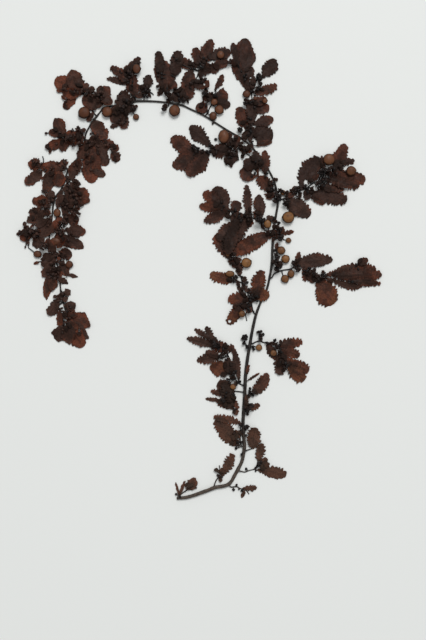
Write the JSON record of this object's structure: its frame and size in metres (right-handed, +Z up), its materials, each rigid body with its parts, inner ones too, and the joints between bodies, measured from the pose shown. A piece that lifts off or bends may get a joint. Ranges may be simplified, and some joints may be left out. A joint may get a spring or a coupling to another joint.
{
  "type": "sargassum seaweed",
  "caption": "Dried, pressed sargassum shoot laid out flat: a long hooked main stem with leafy side sprays, toothed blades, round air bladders and bead-like receptacles.",
  "frame": {"origin": "middle of the shoot's outline seen from above, at the surface it lies on", "axes": "+Z up, away from the surface; +Y along the shoot from its cut base towards the arch of the main stem; +X to the right of that seen from above"},
  "size_m": [0.2339, 0.2979, 0.0086],
  "materials": {
    "frond": "matt, dried",
    "stem": "matt, dried"
  },
  "bodies": {
    "root": {"main_stem": "stem", "basal_spray_left": "frond", "basal_spray_right": "frond", "basal_spray_upper": "frond", "stalked_leaf": "frond", "lower_left_spray": "frond", "left_spray": "frond", "left_fan": "frond", "right_leaf_low": "frond", "right_leaf_high": "frond", "receptacles_left": "frond", "receptacles_right": "frond", "right_spray": "frond", "right_branch": "frond", "left_branch": "frond", "axis_shoot": "frond", "axis_knot": "frond", "left_upper_fan": "frond", "right_fan": "frond", "axis_fan": "frond", "middle_left_spray": "frond", "upper_right_branch": "frond", "small_tuft": "frond", "top_spray": "frond", "top_left_spray": "frond", "arch_fan": "frond", "arch_spray": "frond", "arch_lower_spray": "frond", "far_arch_spray": "frond", "hook_fan": "frond", "hook_spray": "frond", "outer_spray": "frond", "inner_fan": "frond", "outer_pair": "frond", "inner_spray": "frond", "outer_blade": "frond", "hook_tuft": "frond", "end_tuft": "frond"}
  },
  "joints": []
}
